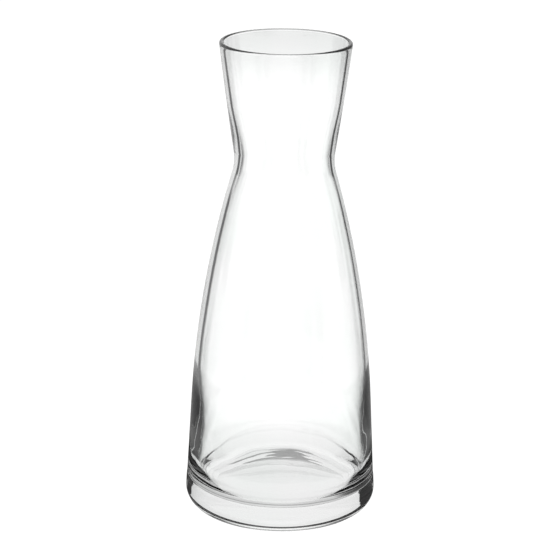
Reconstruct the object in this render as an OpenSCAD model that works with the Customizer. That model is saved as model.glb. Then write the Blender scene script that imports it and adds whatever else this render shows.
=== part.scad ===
// Water carafe in clear glass: a heavy flat base, a tall tapering body, a waist and a flared neck.
// The whole carafe is one piece of glass, turned about the Z axis from one section.
// The origin is the centre of the ring that it stands on, and +Z points up through the mouth.

/* [Outside] */
// Height from the table to the top of the rim
total_h = 262; // [245:1:285]
// Widest diameter, just above the rounded heel
base_d = 105.4; // [96:0.2:116]
// Radius of the rounded heel between the underside and the side
heel_r = 10; // [4:0.5:14]
// Lean of the straight lower side, in degrees from upright
taper_angle = 3; // [1:0.25:5]
// Height at which the straight lower side ends and the long curve begins
taper_h = 61.5; // [40:0.5:90]
// Outside diameter at the waist, the narrowest place
waist_d = 54.1; // [46:0.1:62]
// Height of the neck, from the waist to the top of the rim
neck_h = 63.8; // [50:0.2:75]
// Radius of the bend at the waist
waist_bend_r = 27.7; // [16:0.1:45]
// Outside diameter of the mouth
mouth_d = 70.9; // [62:0.1:80]
// Radius of the slight outward bow of the neck
neck_bow_r = 2140; // [900:20:6000]

/* [Glass] */
// Thickness of the body's wall
wall_t = 2.7; // [1.8:0.1:4]
// Thickness of the wall at the waist
waist_t = 3.4; // [2.4:0.1:5]
// Height above and below the waist over which its extra thickness fades out
waist_swell_h = 30; // [15:1:45]
// Thickness of the neck's wall, up to and over the rim
mouth_t = 2.4; // [1.6:0.1:3.6]
// Thickness of the wall in the foot
foot_wall_t = 5; // [3:0.1:7]
// Height up to which the wall keeps its foot thickness
foot_wall_h = 40; // [38:0.5:60]
// Height from which the wall has thinned to the body's thickness
thin_wall_h = 86; // [70:1:120]

/* [Base] */
// Height of the inside floor above the table
floor_h = 13; // [8:0.5:16]
// Width of the tall rounded corner between the inside floor and the wall
floor_corner_w = 7; // [3:0.25:10]
// Height of that corner
floor_corner_h = 17; // [8:0.5:20]
// Width of the flat ring that the carafe stands on, between the heel and the hollow under the base
ring_w = 4.7; // [2:0.1:15]
// Height of the hollow under the base, at its middle
punt_h = 0.8; // [0.4:0.1:4]
// Height of the seam that the mould leaves round the base
seam_h = 18.3; // [16:0.1:32]
// How far the base stands out below the seam
seam_step = 0.2; // [0.05:0.05:0.5]

/* [Hidden] */

// How many stretches each curve of the section is drawn with
turn_facets = 96;
heel_steps = 18;
body_steps = 40;
waist_steps = 24;
neck_steps = 14;
rim_steps = 20;
foot_steps = 4;
thinning_steps = 18;
corner_steps = 18;
punt_steps = 12;

// The smoky edge of clear glass, mostly see-through
glass_colour = [0.80, 0.86, 0.87];
glass_alpha = 0.45;

// Directions along an arc, in degrees
straight_up = 90;
straight_down = -90;

waist_h = total_h - neck_h;
rim_r = mouth_t / 2;

// Centres of the rounded heel, the waist's bend and the rounded rim, as [radius, height]
heel_c = [base_d / 2 - heel_r, heel_r];
waist_c = [waist_d / 2 + waist_bend_r, waist_h];
rim_c = [mouth_d / 2 - rim_r, total_h - rim_r];

// The hollow under the base is a shallow cap of this ball
punt_r = heel_c[0] - ring_w;
punt_ball_r = (punt_r * punt_r + punt_h * punt_h) / (2 * punt_h);
punt_c = [0, punt_h - punt_ball_r];
punt_edge = straight_up - asin(punt_r / punt_ball_r);

// The straight side is tangent to the heel, one seam step in from it
taper_out = [cos(taper_angle), sin(taper_angle)];
heel_top = heel_c + heel_r * taper_out;
taper_foot_r = heel_top[0] - seam_step + heel_top[1] * tan(taper_angle);
taper_top = [taper_foot_r - taper_h * tan(taper_angle), taper_h];

// The long curve of the body is tangent to the straight side and to the waist's bend
to_taper = taper_top - waist_c;
body_bow_r = (to_taper * to_taper - waist_bend_r * waist_bend_r)
    / (2 * (waist_bend_r + to_taper * taper_out));
body_c = taper_top - body_bow_r * taper_out;

// The bow of the neck is tangent to the waist's bend and to the rim
neck_c = meeting(waist_c, neck_bow_r + waist_bend_r, rim_c, neck_bow_r - rim_r);

// Heights at which one curve of the side passes into the next
body_end_h = (body_c + (waist_c - body_c) * body_bow_r / norm(waist_c - body_c))[1];
neck_start_h = (neck_c + (waist_c - neck_c) * neck_bow_r / norm(waist_c - neck_c))[1];
flare_angle = atan2(neck_c[1] - rim_c[1], rim_c[0] - neck_c[0]);
neck_end_h = rim_c[1] - rim_r * sin(flare_angle);

// The corner between the inside floor and the leaning foot wall is a quarter of an oval, tangent to both
corner_lean = atan(floor_corner_h * tan(taper_angle) / floor_corner_w);
corner_top_h = floor_h + floor_corner_h * (1 + sin(corner_lean));
corner_top_r = taper_foot_r - corner_top_h * tan(taper_angle) - foot_wall_t / cos(taper_angle);
corner_c = [corner_top_r - floor_corner_w * cos(corner_lean), floor_h + floor_corner_h];

// Where two circles meet, on the left of the line from the first centre to the second
function meeting(c1, r1, c2, r2) =
    let (gap = norm(c2 - c1))
    let (along = (r1 * r1 - r2 * r2 + gap * gap) / (2 * gap))
    let (aside = sqrt(r1 * r1 - along * along))
    let (way = (c2 - c1) / gap)
    c1 + along * way + aside * [-way[1], way[0]];

// Points along an arc, both ends included
function arc(centre, radius, from, to, steps) = [
    for (i = [0:steps])
    let (a = from + (to - from) * i / steps)
    centre + radius * [cos(a), sin(a)]
];

// Points along an arc of an oval, both ends included
function oval_arc(centre, half_w, half_h, from, to, steps) = [
    for (i = [0:steps])
    let (a = from + (to - from) * i / steps)
    centre + [half_w * cos(a), half_h * sin(a)]
];

// Even heights from one to another, the last one left out
function rise(from, to, steps) = [for (i = [0:steps - 1]) from + (to - from) * i / steps];

// Outer side of the glass at a height, above the heel
function side_r(z) =
    z < taper_h ? taper_foot_r - z * tan(taper_angle)
    : z < body_end_h ? body_c[0] + sqrt(pow(body_bow_r, 2) - pow(z - body_c[1], 2))
    : z < neck_start_h ? waist_c[0] - sqrt(pow(waist_bend_r, 2) - pow(z - waist_c[1], 2))
    : neck_c[0] + sqrt(pow(neck_bow_r, 2) - pow(z - neck_c[1], 2));

// Direction square to the outer side at a height, pointing out of the glass
function side_out(z) =
    z < taper_h ? taper_out
    : z < body_end_h ? ([side_r(z), z] - body_c) / body_bow_r
    : z < neck_start_h ? (waist_c - [side_r(z), z]) / waist_bend_r
    : ([side_r(z), z] - neck_c) / neck_bow_r;

// A smooth change from one value to another as z goes from one height to the other
function eased(z, from_h, to_h, from, to) =
    let (share = min(1, max(0, (z - from_h) / (to_h - from_h))))
    from + (to - from) * (1 - cos(180 * share)) / 2;

// Thickness of the wall at a height
function wall(z) =
    z < waist_h - waist_swell_h ? eased(z, foot_wall_h, thin_wall_h, foot_wall_t, wall_t)
    : z < waist_h ? eased(z, waist_h - waist_swell_h, waist_h, wall_t, waist_t)
    : eased(z, waist_h, waist_h + waist_swell_h, waist_t, mouth_t);

function outside_point(z) = [side_r(z), z];
function inside_point(z) = outside_point(z) - wall(z) * side_out(z);

// Heights of the points on the outside above the seam, and on the inside above the corner
upper_heights = concat(
    rise(body_end_h, neck_start_h, waist_steps),
    rise(neck_start_h, neck_end_h, neck_steps)
);
outside_heights = concat([seam_h], rise(taper_h, body_end_h, body_steps), upper_heights);
inside_heights = concat(
    [for (i = [1:foot_steps - 1]) corner_top_h + (foot_wall_h - corner_top_h) * i / foot_steps],
    rise(foot_wall_h, thin_wall_h, thinning_steps),
    rise(thin_wall_h, body_end_h, body_steps),
    upper_heights
);

// The underside, from the middle of the hollow to the ring that the carafe stands on
function underside() = arc(punt_c, punt_ball_r, straight_up, punt_edge, punt_steps);

// The heel and the base below the seam
function heel_and_base() = concat(
    arc(heel_c, heel_r, straight_down, taper_angle, heel_steps),
    [[side_r(seam_h - seam_step) + seam_step, seam_h - seam_step]]
);

// The outside, the rounded rim, and the inside down to the middle of the floor
function outside() = [for (z = outside_heights) outside_point(z)];
function rim() = arc(rim_c, rim_r, -flare_angle, 180 - flare_angle, rim_steps);
function inside() = [for (i = [len(inside_heights) - 1:-1:0]) inside_point(inside_heights[i])];
function inner_floor() = concat(
    oval_arc(corner_c, floor_corner_w, floor_corner_h, corner_lean, straight_down, corner_steps),
    [[0, floor_h]]
);

// The glass, from its section through the axis
module carafe_glass() {
    color(glass_colour, glass_alpha)
    rotate_extrude($fn = turn_facets)
    polygon(concat(underside(), heel_and_base(), outside(), rim(), inside(), inner_floor()));
}

carafe_glass();
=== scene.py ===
"""A clear glass water carafe, standing on a pale floor in soft studio light."""

import math

import bpy
from mathutils import Matrix, Vector


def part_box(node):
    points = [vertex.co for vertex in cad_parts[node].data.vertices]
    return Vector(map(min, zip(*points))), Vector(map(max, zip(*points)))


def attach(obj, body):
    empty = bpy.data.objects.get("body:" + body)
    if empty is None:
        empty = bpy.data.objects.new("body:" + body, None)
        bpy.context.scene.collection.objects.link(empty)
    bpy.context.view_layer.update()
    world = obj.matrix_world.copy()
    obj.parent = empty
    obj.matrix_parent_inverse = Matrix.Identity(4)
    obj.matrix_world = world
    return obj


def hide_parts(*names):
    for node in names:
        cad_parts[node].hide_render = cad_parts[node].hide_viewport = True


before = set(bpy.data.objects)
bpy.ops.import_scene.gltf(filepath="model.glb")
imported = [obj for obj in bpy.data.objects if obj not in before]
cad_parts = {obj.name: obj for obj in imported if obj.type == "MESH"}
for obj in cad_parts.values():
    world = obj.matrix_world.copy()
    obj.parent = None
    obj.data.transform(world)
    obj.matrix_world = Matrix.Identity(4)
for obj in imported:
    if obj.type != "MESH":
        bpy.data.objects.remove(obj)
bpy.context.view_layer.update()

MM = 0.001
GLASS_NODE = "carafe_glass"

# The carafe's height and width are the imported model's own
low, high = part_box(GLASS_NODE)
TOTAL_H = high.z
BASE_R = min(high.x, high.y, -low.x, -low.y)

# The section has the construction's sizes, and beside them a rounded edge on the punt and a soft seam
HEEL_R = 10 * MM
TAPER = math.radians(3)
TAPER_H = 61.5 * MM
WAIST_R = 27.05 * MM
WAIST_H = TOTAL_H - 63.8 * MM
WAIST_BEND_R = 27.7 * MM
MOUTH_R = 35.45 * MM
NECK_BOW_R = 2.14
WALL = 2.7 * MM
WAIST_WALL = 3.4 * MM
WAIST_SWELL_H = 30 * MM
MOUTH_WALL = 2.4 * MM
RIM_R = MOUTH_WALL / 2
FOOT_WALL = 5 * MM
FOOT_WALL_H = 40 * MM
THIN_WALL_H = 86 * MM
FLOOR_H = 13 * MM
FLOOR_CORNER_W = 7 * MM
FLOOR_CORNER_H = 17 * MM
RING_W = 4.7 * MM
PUNT_H = 0.8 * MM
PUNT_EDGE_R = 1.5 * MM
SEAM_H = 18.3 * MM
SEAM_STEP = 0.2 * MM
SEAM_SOFT = 2.5 * MM

# How finely the section is drawn: the stretches of each curve, and the steps up the side and the waist
PUNT_STRETCHES = 16
PUNT_EDGE_STRETCHES = 6
HEEL_STRETCHES = 24
SEAM_STRETCHES = 6
RIM_STRETCHES = 24
CORNER_STRETCHES = 24
FLOOR_STRETCHES = 8
SIDE_STEP = 2 * MM
WAIST_STEP = 0.8 * MM

# How the section is turned, and how its inside wanders, as the inputs of the turning tree
TURNING = (
    ("Turn Steps", "NodeSocketInt", 256),
    ("Cavity Shift", "NodeSocketVector", (0.4 * MM, 0.0, 0.0)),
    ("Wander", "NodeSocketFloat", 0.25 * MM),
    ("Wander Size", "NodeSocketFloat", 60 * MM),
    ("Foot Ripple", "NodeSocketFloat", 0.4 * MM),
    ("Foot Ripple Size", "NodeSocketFloat", 12 * MM),
    ("Foot Height", "NodeSocketFloat", 90 * MM),
    ("Seed", "NodeSocketFloat", 3.0),
)
# The share of its height over which the foot's ripple dies out softly
FOOT_RIPPLE_FADE = 0.2
# How far below the rim the inside is free to wander, and how far from the axis
RIM_FADE = 60 * MM
AXIS_FADE = 10 * MM
# Points closer than this are one point, as at the axis and where the turn closes
SAME_POINT = 0.002 * MM

# The finish of the glass. Clouds of tint take some red and blue, and the glass is dimmed towards the rim
GLASS_INDEX = 1.5
CLOUDS_PER_METRE = 25.0
CLOUD_EDGES = (0.35, 0.65)
TINT_RED = 0.985
TINT_BLUE = 0.992
RIM_DIMMED_TO = 0.88
DIMMING_HEIGHTS = (236 * MM, 262 * MM)
# Cords lie level and are drawn out round the axis, and a wiped spot is a little dull
CORDS_PER_METRE = (12.0, 12.0, 110.0)
CORD_HEIGHT = 0.02 * MM
SPOTS_PER_METRE = 70.0
SPOT_EDGES = (0.6, 0.75)
WIPED_ROUGHNESS = 0.008
# What the glass leaves of a lamp's light in its shadow
SHADOW_TINT = (0.93, 0.93, 0.93, 1)

# The camera stands where the outline of a carafe 268 mm tall was fitted to the photograph, scaled to 262 mm
PHOTO_PX = 560
FOCAL_PX = 2250
SENSOR_MM = 36
FIT_SCALE = 262 / 268
CAMERA_BACK = 1198.4 * FIT_SCALE * MM
CAMERA_UP = 513.0 * FIT_SCALE * MM
CAMERA_PITCH = math.radians(17.619)
CAMERA_YAW = math.radians(-0.070)
CAMERA_ROLL = math.radians(0.801)
CAMERA_REACH = 50

# Light of the studio against the direction that a ray leaves the glass in, level with the floor:
# 0 is square, along X or Y, and 1 is diagonal. It is given for rays straight through the glass, for rays that
# the glass turned back inside, and for rays that its outer face turned back
SEEN_THROUGH = ((0, 1.14), (0.3, 1.12), (0.38, 1.0), (0.46, 0.85), (0.54, 0.4), (0.6, 0.08),
                (0.78, 0.08), (0.84, 0.7), (0.92, 1.05), (1, 1.14))
SEEN_INSIDE = ((0, 0.95), (0.3, 0.92), (0.6, 0.86), (0.66, 0.7), (0.72, 0.04), (0.89, 0.02),
               (0.95, 0.5), (1, 0.8))
SEEN_IN_FRONT = ((0, 1.0), (0.25, 0.85), (0.5, 0.5), (0.65, 0.35), (1, 0.35))

# Lights by how steeply a ray leaves the glass: -1 is straight down, 0 is level and 1 is straight up.
# Each pair says where one light starts to pass into the next, and where it has
SKY_LIGHT = 1.14
SKY_STARTS = (0.1, 0.3)
ABOVE_LIGHT = 0.87
ABOVE_STARTS = (-0.06, 0.04)
OVERHEAD_LIGHT = 0.75
OVERHEAD_STARTS = (0.6, 0.75)
# The backdrop starts just below level, where the far end of the floor leaves off
HORIZON = -0.001
# The outer face of the glass finds the studio lighter on the left, against a ray's direction along X
LEFT_LIGHT = 0.85
LEFT_STARTS = (-0.12, -0.02)

# Dark cards at the sides, each from one azimuth to another in degrees: 0 is behind the carafe, 90 is right
CARDS = ((-82, -47), (63, 82))
CARD_LIGHT = 0.03
CARD_FOOT = (-0.12, -0.06)
CARD_TOP = (0.53, 0.56)
CARD_SOFTNESS = math.radians(1.5)

# What is left of the light of a ray that was turned back many times, and how many turns make it so
MANY_TURNS_SHARE = 0.12
MANY_TURNS = (2, 3)

# The floor as the glass shows it glows with painted light and shade, in tones by the distance from the
# carafe's axis: a pale tone close by and a painted dark ring further out. Each pair says where one tone
# starts to pass into the next, and where it has
CLOSE_TONE = 0.93
RING_TONE = 0.07
CLOSE_STARTS = (50 * MM, 54 * MM)
RING_STARTS = (95 * MM, 108 * MM)
# Where the tones end, for rays straight through the glass and for rays that it turned back
STRAIGHT_TONES_END = (52 * MM, 56 * MM)
TURNED_TONES_END = (220 * MM, 280 * MM)

# Straight through the glass: the floor under it, dimmed a little as painted shade, and the painted strokes of
# shade under the far side of its heel
UNDER_TONE = 0.9
CONTACT_TONE = 0.32
HEEL_SHADE_STARTS = (35.5 * MM, 37.5 * MM)
HEEL_SHADE_ENDS = (47 * MM, 50 * MM)
# The strokes are long across and thin outward, and die out to the sides
STROKES_PER_METRE_ACROSS = 45.0
STROKES_PER_METRE_OUTWARD = 420.0
STROKES_THINNING = 12.0
STROKE_EDGES = (0.28, 0.36)

# Turned back inside: painted light and shade on the floor under the carafe, which goes dark at the right,
# from left (0) to right (1), and a darker line of painted shade round it
UNDER_TURNED = ((0, 0.6), (0.5, 0.76), (0.88, 0.62), (0.94, 0.12), (1, 0.06))
UNDER_TURNED_W = 100 * MM
RING_EDGE_TONE = 0.55
RING_EDGE_STARTS = (44.5 * MM, 45.8 * MM)
RING_EDGE_ENDS = (47.0 * MM, 48.3 * MM)

# Thin painted bright lines in the painted dark ring round the carafe
LINE_TONE = 0.6
LINE_SHIFT = (0, 0, 0.02)
LINES_PER_METRE = 13.0
LINE_EDGES = (0.004, 0.012)

# Turned back by the outer face: the floor is painted dark close to the carafe, but for a painted bright
# middle, and less dark in a ring
FRONT_MIDDLE_TONE = 0.9
FRONT_CLOSE_TONE = 0.05
FRONT_RING_TONE = 0.3
FRONT_MIDDLE_SIDES = (8 * MM, 26 * MM)
FRONT_MIDDLE_END = (62 * MM, 72 * MM)
FRONT_RING_STARTS = (110 * MM, 140 * MM)

# How much of the studio's light the floor lets through: next to the carafe, where it holds some back as
# painted shade, at its far end, and for rays through the far side of the rim and of the mouth alone, which it
# darkens with painted shade
NEAR_SHARE = 0.88
NEAR_END = (55 * MM, 120 * MM)
FAR_SHARE = 0.82
FAR_STARTS = (1.5, 5)
RIM_SHARE = 0.5
RIM_STARTS = (120 * MM, 150 * MM)
RIM_END = (500 * MM, 550 * MM)
MOUTH_SHARE = 0.86
MOUTH_STARTS = (0.9, 1)

# The floor as the camera shows it: its own glow, and its paper, which takes the carafe's shadow
FLOOR_HALF = 60.0
FLOOR_GLOW = 0.92
# The paper's darkest and palest grain
PAPER_TONES = (0.13, 0.15)
GRAIN_PER_METRE = 300.0
GRAIN_EDGES = (0.3, 0.7)

# Each lamp's name, place, size and power, and the place that all of them aim at
LAMPS = (("key", (-0.8, -0.9, 1.4), 0.9, 18), ("fill", (1.0, -0.6, 1.0), 1.0, 9))
LAMP_AIM = Vector((0, 0, 0.1))


def direction(angle):
    return Vector((math.cos(angle), math.sin(angle)))


def meeting(c1, r1, c2, r2):
    """Where two circles meet, on the left of the line from the first centre to the second."""
    gap = (c2 - c1).length
    along = (r1 * r1 - r2 * r2 + gap * gap) / (2 * gap)
    aside = math.sqrt(r1 * r1 - along * along)
    way = (c2 - c1) / gap
    return c1 + along * way + aside * Vector((-way.y, way.x))


def turns(start, end, steps):
    """Even angles from one to another, both ends included."""
    return [start + (end - start) * i / steps for i in range(steps + 1)]


def arc(centre, radius, start, end, steps):
    return [centre + radius * direction(turn) for turn in turns(start, end, steps)]


def oval_arc(centre_r, centre_z, half_w, half_h, start, end, steps):
    return [Vector((centre_r + half_w * math.cos(turn), centre_z + half_h * math.sin(turn)))
            for turn in turns(start, end, steps)]


def eased(z, from_z, to_z, start, end):
    share = min(1, max(0, (z - from_z) / (to_z - from_z)))
    return start + (end - start) * (1 - math.cos(math.pi * share)) / 2


# Tangent arcs of the outside, each centre given as (radius, height)
heel_c = Vector((BASE_R - HEEL_R, HEEL_R))
waist_c = Vector((WAIST_R + WAIST_BEND_R, WAIST_H))
rim_c = Vector((MOUTH_R - RIM_R, TOTAL_H - RIM_R))
taper_out = direction(TAPER)
heel_top = heel_c + HEEL_R * taper_out
taper_foot_r = heel_top.x - SEAM_STEP + heel_top.y * math.tan(TAPER)
taper_top = Vector((taper_foot_r - TAPER_H * math.tan(TAPER), TAPER_H))
to_taper = taper_top - waist_c
body_bow_r = (to_taper.length_squared - WAIST_BEND_R ** 2) / (2 * (WAIST_BEND_R + to_taper.dot(taper_out)))
body_c = taper_top - body_bow_r * taper_out
neck_c = meeting(waist_c, NECK_BOW_R + WAIST_BEND_R, rim_c, NECK_BOW_R - RIM_R)
body_end_h = (body_c + (waist_c - body_c).normalized() * body_bow_r).y
neck_start_h = (neck_c + (waist_c - neck_c).normalized() * NECK_BOW_R).y
flare = math.atan2(neck_c.y - rim_c.y, rim_c.x - neck_c.x)
neck_end_h = rim_c.y - RIM_R * math.sin(flare)


def side(z):
    """The outside at a height, as its point in the section and the direction out of the glass."""
    if z < TAPER_H:
        return Vector((taper_foot_r - z * math.tan(TAPER), z)), taper_out
    if z < body_end_h:
        point = Vector((body_c.x + math.sqrt(body_bow_r ** 2 - (z - body_c.y) ** 2), z))
        return point, (point - body_c) / body_bow_r
    if z < neck_start_h:
        point = Vector((waist_c.x - math.sqrt(WAIST_BEND_R ** 2 - (z - waist_c.y) ** 2), z))
        return point, (waist_c - point) / WAIST_BEND_R
    point = Vector((neck_c.x + math.sqrt(NECK_BOW_R ** 2 - (z - neck_c.y) ** 2), z))
    return point, (point - neck_c) / NECK_BOW_R


def wall(z):
    """The thickness of the wall at a height."""
    if z < WAIST_H - WAIST_SWELL_H:
        return eased(z, FOOT_WALL_H, THIN_WALL_H, FOOT_WALL, WALL)
    if z < WAIST_H:
        return eased(z, WAIST_H - WAIST_SWELL_H, WAIST_H, WALL, WAIST_WALL)
    return eased(z, WAIST_H, WAIST_H + WAIST_SWELL_H, WAIST_WALL, MOUTH_WALL)


def heights(start, end, step):
    """Even heights from start up to end, the end left out."""
    count = max(1, round((end - start) / step))
    return [start + (end - start) * i / count for i in range(count)]


def underside():
    """From the middle of the punt, over its rounded edge, to the ring that the carafe stands on."""
    punt_r = heel_c.x - RING_W
    ball_r = (punt_r ** 2 + PUNT_H ** 2) / (2 * PUNT_H)
    ball_c = Vector((0, PUNT_H - ball_r))
    # The rounded edge is tangent to the punt's ball and to the table
    edge_r = math.sqrt((ball_r + PUNT_EDGE_R) ** 2 - (PUNT_EDGE_R - ball_c.y) ** 2)
    edge_c = Vector((edge_r, PUNT_EDGE_R))
    lean = math.atan2(edge_c.x - ball_c.x, edge_c.y - ball_c.y)
    dome = arc(ball_c, ball_r, math.pi / 2, math.pi / 2 - lean, PUNT_STRETCHES)
    edge = arc(edge_c, PUNT_EDGE_R, -math.pi / 2 - lean, -math.pi / 2, PUNT_EDGE_STRETCHES)
    return dome + edge[1:]


def seam():
    """The base's wider side fades into the body's over the mould seam."""
    points = []
    for i in range(SEAM_STRETCHES + 1):
        z = SEAM_H + SEAM_SOFT * (i / SEAM_STRETCHES - 1)
        step_out = eased(z, SEAM_H - SEAM_SOFT, SEAM_H, SEAM_STEP, 0)
        points.append(side(z)[0] + Vector((step_out, 0)))
    return points


def inner_floor():
    """The height at which the tall corner leaves the foot wall, and its points to the middle of the floor."""
    lean = math.atan2(FLOOR_CORNER_H * math.tan(TAPER), FLOOR_CORNER_W)
    corner_h = FLOOR_H + FLOOR_CORNER_H
    wall_h = corner_h + FLOOR_CORNER_H * math.sin(lean)
    wall_r = taper_foot_r - wall_h * math.tan(TAPER) - FOOT_WALL / math.cos(TAPER)
    corner_r = wall_r - FLOOR_CORNER_W * math.cos(lean)
    half_w, half_h = FLOOR_CORNER_W, FLOOR_CORNER_H
    corner = oval_arc(corner_r, corner_h, half_w, half_h, lean, -math.pi / 2, CORNER_STRETCHES)
    flat = [Vector((corner_r * (1 - i / FLOOR_STRETCHES), FLOOR_H)) for i in range(1, FLOOR_STRETCHES + 1)]
    return wall_h, corner + flat


def section_line():
    """The section through the glass, and for each point how far it belongs to the inside."""
    corner_top_h, floor_points = inner_floor()
    waist = heights(body_end_h, neck_start_h, WAIST_STEP)
    upper = heights(TAPER_H, body_end_h, SIDE_STEP) + waist + heights(neck_start_h, neck_end_h, SIDE_STEP)
    outer = underside() + arc(heel_c, HEEL_R, -math.pi / 2, TAPER, HEEL_STRETCHES) + seam()
    outer += [side(z)[0] for z in heights(SEAM_H, TAPER_H, SIDE_STEP)[1:] + upper]
    rim = arc(rim_c, RIM_R, -flare, math.pi - flare, RIM_STRETCHES)
    foot = heights(corner_top_h, TAPER_H, SIDE_STEP)[1:]
    inner = [side(z)[0] - wall(z) * side(z)[1] for z in reversed(foot + upper)] + floor_points
    # The inside follows the outside at the rim and is free to wander lower down
    free = [min(1, (TOTAL_H - p.y) / RIM_FADE) for p in inner]
    inside = [0] * (len(outer) + len(rim)) + [share * share * (3 - 2 * share) for share in free]
    return outer + rim + inner, inside


class Wiring:
    """Adds nodes to one tree, with numbers set on their sockets and links drawn to the rest."""

    def __init__(self, tree):
        self.tree = tree

    def add(self, kind, inputs=(), **settings):
        made = self.tree.nodes.new(kind)
        for key, value in settings.items():
            setattr(made, key, value)
        for key, value in (inputs.items() if isinstance(inputs, dict) else enumerate(inputs)):
            if isinstance(value, bpy.types.NodeSocket):
                self.tree.links.new(value, made.inputs[key])
            else:
                made.inputs[key].default_value = value
        return made

    def sum(self, operation, *values):
        return self.add("ShaderNodeMath", values, operation=operation).outputs[0]

    def scaled(self, vector, factor):
        return self.add("ShaderNodeVectorMath", {0: vector, "Scale": factor}, operation="SCALE").outputs[0]

    def added(self, first, second):
        return self.add("ShaderNodeVectorMath", [first, second], operation="ADD").outputs[0]

    def mixed(self, share, first, second):
        return self.add("ShaderNodeMix", {0: share, 2: first, 3: second}, data_type="FLOAT").outputs[0]

    def step(self, value, edges, first, second):
        """From the first value to the second, as the input goes from one edge to the other."""
        settings = {"Value": value, "From Min": edges[0], "From Max": edges[1], "To Min": first}
        settings["To Max"] = second
        return self.add("ShaderNodeMapRange", settings, interpolation_type="SMOOTHSTEP").outputs[0]

    def band(self, value, starts, ends):
        """1 between the starting and the ending edges, and 0 outside them."""
        return self.sum("MULTIPLY", self.step(value, starts, 0, 1), self.step(value, ends, 1, 0))

    def noise(self, place, scale, detail=2.0):
        settings = {"Vector": place, "Scale": scale, "Detail": detail}
        return self.add("ShaderNodeTexNoise", settings).outputs["Fac"]

    def grey(self, tone):
        return self.add("ShaderNodeCombineColor", [tone] * 3).outputs[0]

    def curve(self, value, stops):
        """A chain of straight lines through the stops, which start at 0 and end at 1."""
        made = self.add("ShaderNodeFloatCurve", {"Value": value})
        made.mapping.use_clip = False
        points = made.mapping.curves[0].points
        for _ in stops[2:]:
            points.new(0.5, 0.5)
        for point, stop in zip(points, stops):
            point.location = stop
            point.handle_type = "VECTOR"
        made.mapping.update()
        return made.outputs[0]


def turning_tree(material):
    """Turns a section line about the Z axis into a closed glass, with a slightly wandering inside."""
    tree = bpy.data.node_groups.new("turned_glass", "GeometryNodeTree")
    tree.interface.new_socket(name="Geometry", in_out="INPUT", socket_type="NodeSocketGeometry")
    for name, kind, value in TURNING:
        tree.interface.new_socket(name=name, in_out="INPUT", socket_type=kind).default_value = value
    tree.interface.new_socket(name="Geometry", in_out="OUTPUT", socket_type="NodeSocketGeometry")
    w = Wiring(tree)
    given = w.add("NodeGroupInput").outputs
    section = given["Geometry"]

    # A sheet of points, with a row for each point of the section and a column for each step of the turn
    rows = w.add("GeometryNodeAttributeDomainSize", [section], component="MESH").outputs["Point Count"]
    columns = w.sum("ADD", given["Turn Steps"], 1)
    sheet = w.add("GeometryNodeMeshGrid", {"Vertices X": rows, "Vertices Y": columns}).outputs["Mesh"]
    index = w.add("GeometryNodeInputIndex").outputs[0]
    row = w.sum("FLOOR", w.sum("DIVIDE", w.sum("ADD", index, 0.5), columns))
    column = w.sum("SUBTRACT", index, w.sum("MULTIPLY", row, columns))

    def from_section(value, data_type):
        settings = {"Geometry": section, "Value": value, "Index": row}
        return w.add("GeometryNodeSampleIndex", settings, data_type=data_type, domain="POINT").outputs[0]

    # Each point's true place. The turn is clockwise, so that the faces point out of the glass
    turn = w.sum("MULTIPLY", w.sum("DIVIDE", column, given["Turn Steps"]), -math.tau)
    outward = w.add("ShaderNodeCombineXYZ", {"X": w.sum("COSINE", turn), "Y": w.sum("SINE", turn)}).outputs[0]
    drawn_at = from_section(w.add("GeometryNodeInputPosition").outputs[0], "FLOAT_VECTOR")
    spot = w.add("ShaderNodeSeparateXYZ", [drawn_at]).outputs
    lift = w.add("ShaderNodeCombineXYZ", {"Z": spot["Z"]}).outputs[0]
    place = w.added(w.scaled(outward, spot["X"]), lift)

    def waves(size, height):
        settings = {"Vector": place, "W": given["Seed"], "Scale": w.sum("DIVIDE", 1, size), "Detail": 1.0}
        noise = w.add("ShaderNodeTexNoise", settings, noise_dimensions="4D").outputs["Fac"]
        return w.sum("MULTIPLY", w.sum("SUBTRACT", noise, 0.5), height)

    # How far the inside leaves its true place
    wander = waves(given["Wander Size"], given["Wander"])
    ripple = waves(given["Foot Ripple Size"], given["Foot Ripple"])
    in_foot = w.sum("SUBTRACT", 1, w.sum("DIVIDE", spot["Z"], given["Foot Height"]))
    ripple = w.sum("MULTIPLY", ripple, w.sum("SMOOTH_MAX", in_foot, 0.0, FOOT_RIPPLE_FADE))
    off_axis = w.sum("MINIMUM", w.sum("DIVIDE", spot["X"], AXIS_FADE), 1)
    wander = w.sum("MULTIPLY", w.sum("ADD", wander, ripple), off_axis)
    inside = w.add("GeometryNodeInputNamedAttribute", {"Name": "inside"}, data_type="FLOAT")
    inside = from_section(inside.outputs["Attribute"], "FLOAT")
    drift = w.scaled(w.added(w.scaled(outward, wander), given["Cavity Shift"]), inside)

    moved = w.add("GeometryNodeSetPosition", {"Geometry": sheet, "Position": place, "Offset": drift})
    closed = w.add("GeometryNodeMergeByDistance", {"Geometry": moved.outputs[0], "Distance": SAME_POINT})
    smooth = w.add("GeometryNodeSetShadeSmooth", [closed.outputs[0]])
    realised = w.add("GeometryNodeRealizeInstances", [smooth.outputs[0]])
    finished = w.add("GeometryNodeSetMaterial", {"Geometry": realised.outputs[0], "Material": material})
    w.add("NodeGroupOutput", [finished.outputs[0]])
    return tree


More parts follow.
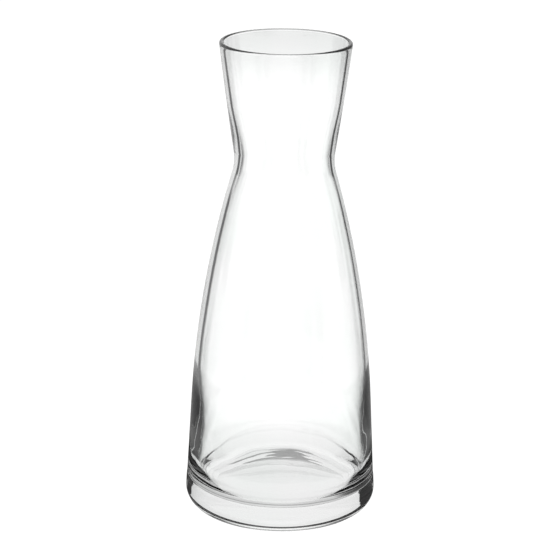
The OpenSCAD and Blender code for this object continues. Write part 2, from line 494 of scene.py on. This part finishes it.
def turned_glass(name, material):
    points, inside = section_line()
    mesh = bpy.data.meshes.new(name + "_section")
    mesh.from_pydata([(p.x, 0, p.y) for p in points], [(i, i + 1) for i in range(len(points) - 1)], [])
    mesh.attributes.new("inside", "FLOAT", "POINT").data.foreach_set("value", [float(i) for i in inside])
    line = bpy.data.objects.new(name + "_section", mesh)
    bpy.context.scene.collection.objects.link(line)
    modifier = line.modifiers.new("turned_glass", "NODES")
    modifier.node_group = turning_tree(material)
    sockets = {s.name: s.identifier for s in modifier.node_group.interface.items_tree if s.in_out == "INPUT"}
    for setting, _, value in TURNING:
        modifier[sockets[setting]] = value
    bpy.context.view_layer.update()
    evaluated = line.evaluated_get(bpy.context.evaluated_depsgraph_get())
    turned = bpy.data.meshes.new_from_object(evaluated)
    bpy.data.objects.remove(line)
    turned.name = name
    piece = bpy.data.objects.new(name, turned)
    bpy.context.scene.collection.objects.link(piece)
    return piece


def empty_material(name):
    material = bpy.data.materials.new(name)
    material.use_nodes = True
    material.node_tree.nodes.clear()
    return material, Wiring(material.node_tree)


def glass_material():
    """Clear glass with a trace of tint, faint cords drawn out round the axis and the odd wiped spot."""
    material, w = empty_material("clear_glass")
    spot = w.add("ShaderNodeTexCoord").outputs["Object"]
    height = w.add("ShaderNodeSeparateXYZ", [spot]).outputs["Z"]
    clouds = w.noise(spot, CLOUDS_PER_METRE)
    # The glass is dimmed towards the rim
    dimmed = w.step(height, DIMMING_HEIGHTS, 1, RIM_DIMMED_TO)
    red = w.sum("MULTIPLY", dimmed, w.step(clouds, CLOUD_EDGES, TINT_RED, 1))
    blue = w.sum("MULTIPLY", dimmed, w.step(clouds, CLOUD_EDGES, TINT_BLUE, 1))
    tint = w.add("ShaderNodeCombineColor", [red, dimmed, blue]).outputs[0]
    wiped = w.step(w.noise(spot, SPOTS_PER_METRE, 3.0), SPOT_EDGES, 0, WIPED_ROUGHNESS)
    drawn_out = w.add("ShaderNodeVectorMath", [spot, CORDS_PER_METRE], operation="MULTIPLY").outputs["Vector"]
    cords = w.noise(drawn_out, 1.0, 1.0)
    wavy = w.add("ShaderNodeBump", {"Strength": 1.0, "Distance": CORD_HEIGHT, "Height": cords}).outputs[0]
    glass = w.add("ShaderNodeBsdfPrincipled", {"Base Color": tint, "Roughness": wiped, "IOR": GLASS_INDEX,
                                               "Transmission Weight": 1.0, "Normal": wavy})
    see_through = w.add("ShaderNodeBsdfTransparent", [SHADOW_TINT])
    rays = w.add("ShaderNodeLightPath").outputs
    either = w.add("ShaderNodeMixShader", [rays["Is Shadow Ray"], glass.outputs[0], see_through.outputs[0]])
    w.add("ShaderNodeOutputMaterial", [either.outputs[0]])
    return material


def build_camera():
    ahead = Vector((0, math.cos(CAMERA_PITCH), -math.sin(CAMERA_PITCH)))
    up = Vector((0, math.sin(CAMERA_PITCH), math.cos(CAMERA_PITCH)))
    right = Vector((1, 0, 0))
    cos, sin = math.cos(CAMERA_YAW), math.sin(CAMERA_YAW)
    ahead, right = ahead * cos + right * sin, right * cos - ahead * sin
    cos, sin = math.cos(CAMERA_ROLL), math.sin(CAMERA_ROLL)
    right, up = right * cos + up * sin, up * cos - right * sin
    data = bpy.data.cameras.new("camera")
    data.sensor_width = SENSOR_MM
    data.lens = FOCAL_PX * SENSOR_MM / PHOTO_PX
    data.clip_end = CAMERA_REACH
    camera = bpy.data.objects.new("camera", data)
    bpy.context.scene.collection.objects.link(camera)
    turn = Matrix((right, up, -ahead)).transposed().to_4x4()
    camera.matrix_world = Matrix.Translation((0, -CAMERA_BACK, CAMERA_UP)) @ turn
    bpy.context.scene.camera = camera


def fewer_turns(w, rays, light):
    """The light that a ray brings, darkened where the glass has turned it back many times."""
    return w.sum("MULTIPLY", light, w.step(rays["Glossy Depth"], MANY_TURNS, 1, MANY_TURNS_SHARE))


def build_world():
    """White behind the carafe, with darker cards beside it that the edges of the glass pick up."""
    world = bpy.data.worlds.new("studio")
    bpy.context.scene.world = world
    world.use_nodes = True
    world.node_tree.nodes.clear()
    w = Wiring(world.node_tree)
    rays = w.add("ShaderNodeLightPath").outputs
    way = w.add("ShaderNodeSeparateXYZ", [w.add("ShaderNodeTexCoord").outputs["Generated"]]).outputs
    azimuth = w.sum("ARCTAN2", way["X"], way["Y"])
    diagonal = w.sum("DIVIDE", w.sum("PINGPONG", azimuth, math.pi / 4), math.pi / 4)

    through = w.mixed(w.step(way["Z"], SKY_STARTS, 0, 1), w.curve(diagonal, SEEN_THROUGH), SKY_LIGHT)
    # The backdrop is as bright as the far end of the floor
    through = w.sum("MULTIPLY", through, w.mixed(w.sum("GREATER_THAN", way["Z"], HORIZON), 1.0, FAR_SHARE))

    above = w.step(way["Z"], OVERHEAD_STARTS, ABOVE_LIGHT, OVERHEAD_LIGHT)
    inside = w.mixed(w.step(way["Z"], ABOVE_STARTS, 0, 1), w.curve(diagonal, SEEN_INSIDE), above)
    inside = fewer_turns(w, rays, inside)
    card_height = w.band(way["Z"], CARD_FOOT, CARD_TOP)
    for card in CARDS:
        start, end = math.radians(card[0]), math.radians(card[1])
        card_width = w.band(azimuth, (start, start + CARD_SOFTNESS), (end - CARD_SOFTNESS, end))
        inside = w.mixed(w.sum("MULTIPLY", card_width, card_height), inside, CARD_LIGHT)

    left = w.step(way["X"], LEFT_STARTS, LEFT_LIGHT, 0)
    in_front = w.sum("MAXIMUM", w.curve(diagonal, SEEN_IN_FRONT), left)
    turned = w.mixed(w.sum("GREATER_THAN", rays["Transmission Depth"], 0.5), in_front, inside)
    light = w.mixed(w.sum("GREATER_THAN", rays["Glossy Depth"], 0.5), through, turned)
    light = w.mixed(rays["Is Camera Ray"], light, 1.0)
    background = w.add("ShaderNodeBackground", {"Color": (1, 1, 1, 1), "Strength": light})
    w.add("ShaderNodeOutputWorld", [background.outputs[0]])


def tone_straight_down(w, place, far, aside):
    """The floor straight through the glass: pale, dimmed a little as painted shade, with broken painted
    strokes of shade under the heel's far side.
    """
    across = w.sum("MULTIPLY", place["X"], STROKES_PER_METRE_ACROSS)
    outward = w.sum("MULTIPLY", far, STROKES_PER_METRE_OUTWARD)
    strokes = w.noise(w.add("ShaderNodeCombineXYZ", [across, outward]).outputs[0], 1.0, 1.0)
    strokes = w.step(w.sum("MULTIPLY_ADD", aside, -STROKES_THINNING, strokes), STROKE_EDGES, 0, 1)
    strokes = w.sum("MULTIPLY", strokes, w.sum("GREATER_THAN", place["Y"], 0.0))
    # Painted strokes of shade, only on the far side of the carafe
    heel_shade = w.sum("MULTIPLY", w.band(far, HEEL_SHADE_STARTS, HEEL_SHADE_ENDS), strokes)
    return w.mixed(heel_shade, UNDER_TONE, CONTACT_TONE)


def tone_turned_inside(w, rays, spot, place, far):
    """The floor's painted light and shade for rays that the glass turned back inside: under it, close by and
    in a ring round it.
    """
    # Painted light and shade under the carafe, which goes dark at the right
    under = w.curve(w.sum("MULTIPLY_ADD", place["X"], 1 / UNDER_TURNED_W, 0.5), UNDER_TURNED)
    # A darker line of painted shade round the carafe
    edge = w.band(far, RING_EDGE_STARTS, RING_EDGE_ENDS)
    under = w.sum("MULTIPLY", under, w.mixed(edge, 1.0, RING_EDGE_TONE))
    close = w.mixed(w.step(far, CLOSE_STARTS, 0, 1), under, CLOSE_TONE)
    # Thin painted bright lines in the painted dark ring, which the foot's sides pick up
    clouds = w.noise(w.added(spot, LINE_SHIFT), LINES_PER_METRE, 0.0)
    lines = w.step(w.sum("ABSOLUTE", w.sum("SUBTRACT", clouds, 0.5)), LINE_EDGES, LINE_TONE, RING_TONE)
    ring = w.mixed(w.sum("GREATER_THAN", rays["Glossy Depth"], 1.5), lines, CLOSE_TONE)
    return fewer_turns(w, rays, w.mixed(w.step(far, RING_STARTS, 0, 1), close, ring))


def tone_turned_in_front(w, far, aside):
    """The floor's painted light and shade for rays that the outer face of the glass turned back."""
    # Painted dark close to the carafe, with a painted bright middle
    middle = w.step(aside, FRONT_MIDDLE_SIDES, FRONT_MIDDLE_TONE, FRONT_CLOSE_TONE)
    close = w.mixed(w.step(far, FRONT_MIDDLE_END, 0, 1), middle, FRONT_CLOSE_TONE)
    return w.mixed(w.step(far, FRONT_RING_STARTS, 0, 1), close, FRONT_RING_TONE)


def share_let_through(w, rays, far):
    """How much of the studio's light the floor lets through to rays that went straight through the glass,
    less where it paints shade next to the carafe and for rays through the far side of the rim and of the
    mouth alone.
    """
    # Painted shade next to the carafe, which fades further away
    share = w.sum("MULTIPLY", w.step(far, NEAR_END, NEAR_SHARE, 1), w.step(far, FAR_STARTS, 1, FAR_SHARE))
    mouth = w.mixed(w.step(far, MOUTH_STARTS, 0, 1), w.step(far, RIM_END, RIM_SHARE, 1), MOUTH_SHARE)
    mouth = w.mixed(w.step(far, RIM_STARTS, 0, 1), 1.0, mouth)
    one_wall = w.sum("LESS_THAN", rays["Transmission Depth"], 2.5)
    return w.sum("MULTIPLY", share, w.mixed(one_wall, 1.0, mouth))


def floor_material():
    """White to the camera, with the carafe's faint shadow. The rays that leave the glass pass through it to
    the studio's light, but for the part under and round the carafe, which glows for them with painted light
    and shade."""
    material, w = empty_material("pale_floor")
    rays = w.add("ShaderNodeLightPath").outputs
    spot = w.add("ShaderNodeTexCoord").outputs["Object"]
    place = w.add("ShaderNodeSeparateXYZ", [spot]).outputs
    far = w.add("ShaderNodeVectorMath", [spot], operation="LENGTH").outputs["Value"]
    aside = w.sum("ABSOLUTE", place["X"])
    turned = w.sum("GREATER_THAN", rays["Glossy Depth"], 0.5)
    sent = w.sum("GREATER_THAN", rays["Transmission Depth"], 0.5)

    in_front = tone_turned_in_front(w, far, aside)
    inside = tone_turned_inside(w, rays, spot, place, far)
    straight = tone_straight_down(w, place, far, aside)
    tone = w.mixed(turned, straight, w.mixed(sent, in_front, inside))
    solid = w.mixed(turned, w.step(far, STRAIGHT_TONES_END, 1, 0), w.step(far, TURNED_TONES_END, 1, 0))
    clear = w.grey(w.mixed(turned, share_let_through(w, rays, far), 1.0))
    clear = w.add("ShaderNodeBsdfTransparent", [clear])
    # Where the floor is solid to these rays, it glows with its painted light and shade
    card = w.add("ShaderNodeEmission", {"Strength": tone})
    studio = w.add("ShaderNodeMixShader", [solid, clear.outputs[0], card.outputs[0]])

    paper = w.grey(w.step(w.noise(spot, GRAIN_PER_METRE), GRAIN_EDGES, *PAPER_TONES))
    paper = w.add("ShaderNodeBsdfDiffuse", [paper])
    white = w.add("ShaderNodeEmission", {"Strength": FLOOR_GLOW})
    seen = w.add("ShaderNodeAddShader", [white.outputs[0], paper.outputs[0]])
    either = w.add("ShaderNodeMixShader", [rays["Is Camera Ray"], studio.outputs[0], seen.outputs[0]])
    w.add("ShaderNodeOutputMaterial", [either.outputs[0]])
    return material


def build_floor():
    corners = [(x * FLOOR_HALF, y * FLOOR_HALF, 0) for x, y in ((-1, -1), (1, -1), (1, 1), (-1, 1))]
    mesh = bpy.data.meshes.new("floor")
    mesh.from_pydata(corners, [], [(0, 1, 2, 3)])
    mesh.materials.append(floor_material())
    floor = bpy.data.objects.new("floor", mesh)
    bpy.context.scene.collection.objects.link(floor)


def build_lamps():
    for name, spot, size, power in LAMPS:
        data = bpy.data.lights.new(name, "AREA")
        data.size = size
        data.energy = power
        lamp = bpy.data.objects.new(name, data)
        bpy.context.scene.collection.objects.link(lamp)
        lamp.location = spot
        lamp.rotation_euler = (LAMP_AIM - Vector(spot)).to_track_quat("-Z", "Y").to_euler()
        lamp.visible_glossy = False
        lamp.visible_transmission = False


bpy.context.scene.view_settings.view_transform = "Standard"
build_camera()
build_world()
build_floor()
build_lamps()
glass = turned_glass("carafe_of_clear_glass", glass_material())
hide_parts(GLASS_NODE)
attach(glass, "root")
